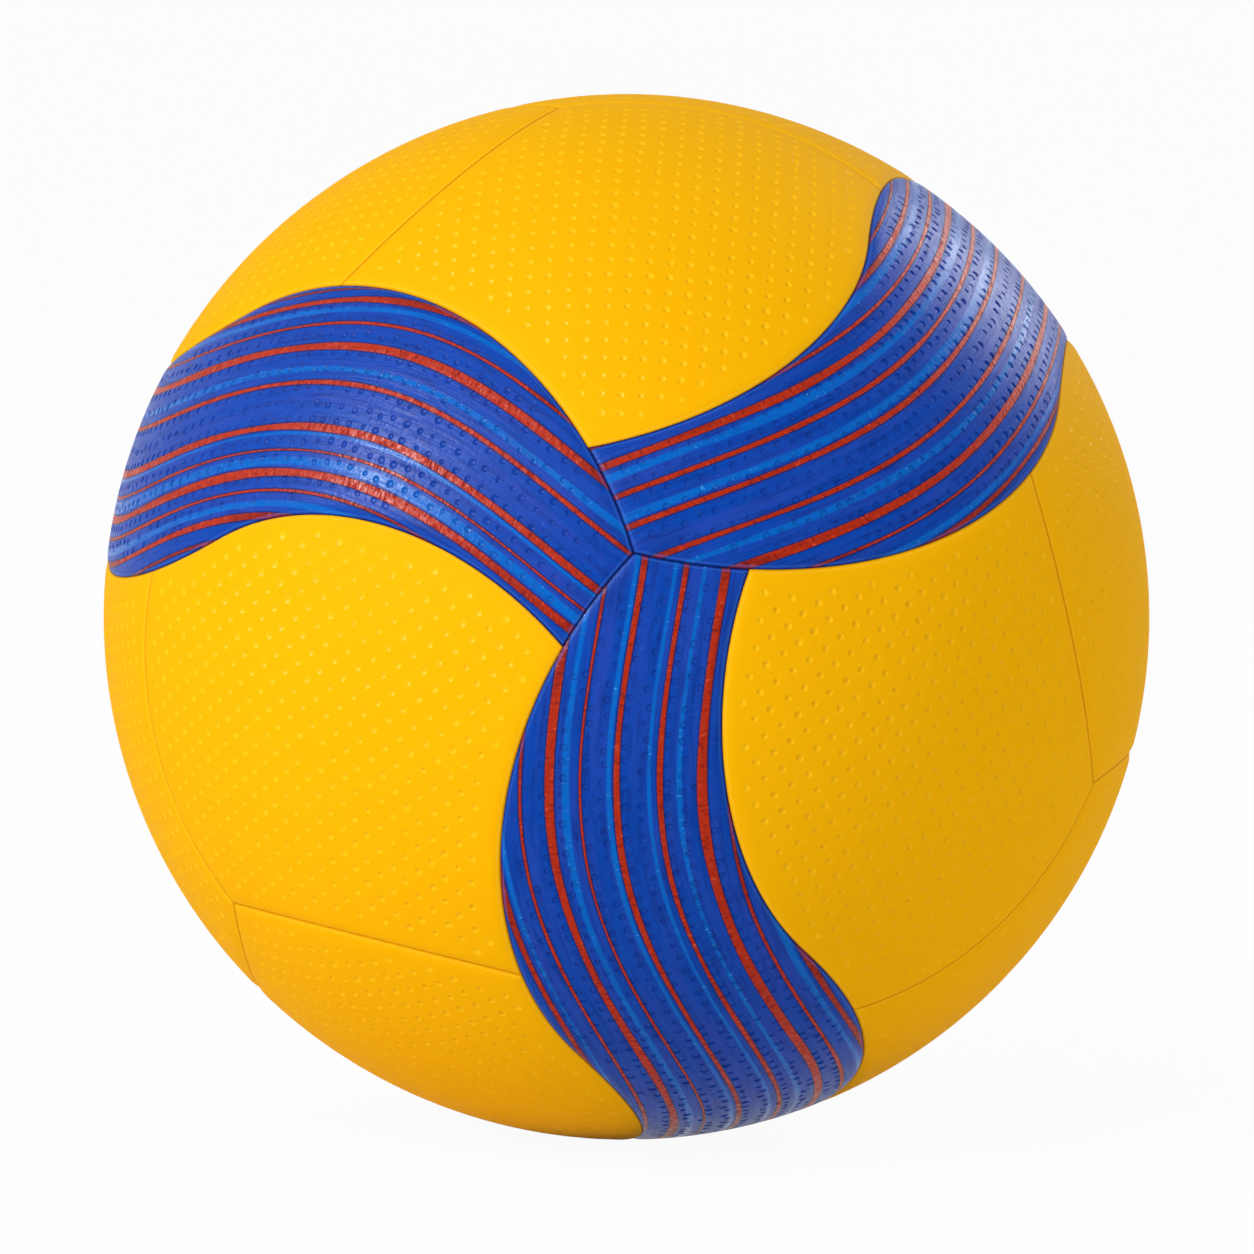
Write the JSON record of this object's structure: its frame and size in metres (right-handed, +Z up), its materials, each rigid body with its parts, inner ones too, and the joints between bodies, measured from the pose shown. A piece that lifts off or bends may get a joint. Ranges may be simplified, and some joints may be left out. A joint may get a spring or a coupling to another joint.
{
  "type": "volleyball",
  "caption": "Round inflatable ball with a glued cover of S shaped striped panels and golden panels over foam, carcass, thread winding and a bladder with a needle valve.",
  "frame": {"origin": "centre of the ball", "axes": "+Z up as the ball lies in the picture, +X to the picture's right, +Y away from its camera"},
  "size_m": [0.21, 0.21, 0.21],
  "materials": {
    "golden_microfibre": "golden yellow dimpled microfibre, satin",
    "striped_microfibre": "royal blue dimpled microfibre with lengthwise light blue and red orange stripes, satin",
    "foam": "off-white closed cell foam sheet",
    "carcass_rubber": "dark moulded rubber",
    "thread": "white nylon thread, wound",
    "butyl": "black butyl rubber",
    "valve_rubber": "dark grey soft rubber"
  },
  "bodies": {
    "root": {"bladder": "butyl", "valve_tube": "valve_rubber", "valve_plug": "valve_rubber", "thread_winding": "thread", "rubber_carcass": "carcass_rubber", "striped_foam_1": "foam", "striped_foam_2": "foam", "striped_foam_3": "foam", "striped_foam_4": "foam", "striped_foam_5": "foam", "striped_foam_6": "foam", "golden_foam_1": "foam", "golden_foam_2": "foam", "golden_foam_3": "foam", "golden_foam_4": "foam", "golden_foam_5": "foam", "golden_foam_6": "foam", "golden_foam_7": "foam", "golden_foam_8": "foam", "golden_foam_9": "foam", "golden_foam_10": "foam", "golden_foam_11": "foam", "golden_foam_12": "foam", "striped_panel_1": "striped_microfibre", "striped_panel_2": "striped_microfibre", "striped_panel_3": "striped_microfibre", "striped_panel_4": "striped_microfibre", "striped_panel_5": "striped_microfibre", "striped_panel_6": "striped_microfibre", "golden_panel_1": "golden_microfibre", "golden_panel_2": "golden_microfibre", "golden_panel_3": "golden_microfibre", "golden_panel_4": "golden_microfibre", "golden_panel_5": "golden_microfibre", "golden_panel_6": "golden_microfibre", "golden_panel_7": "golden_microfibre", "golden_panel_8": "golden_microfibre", "golden_panel_9": "golden_microfibre", "golden_panel_10": "golden_microfibre", "golden_panel_11": "golden_microfibre", "golden_panel_12": "golden_microfibre"}
  },
  "joints": []
}
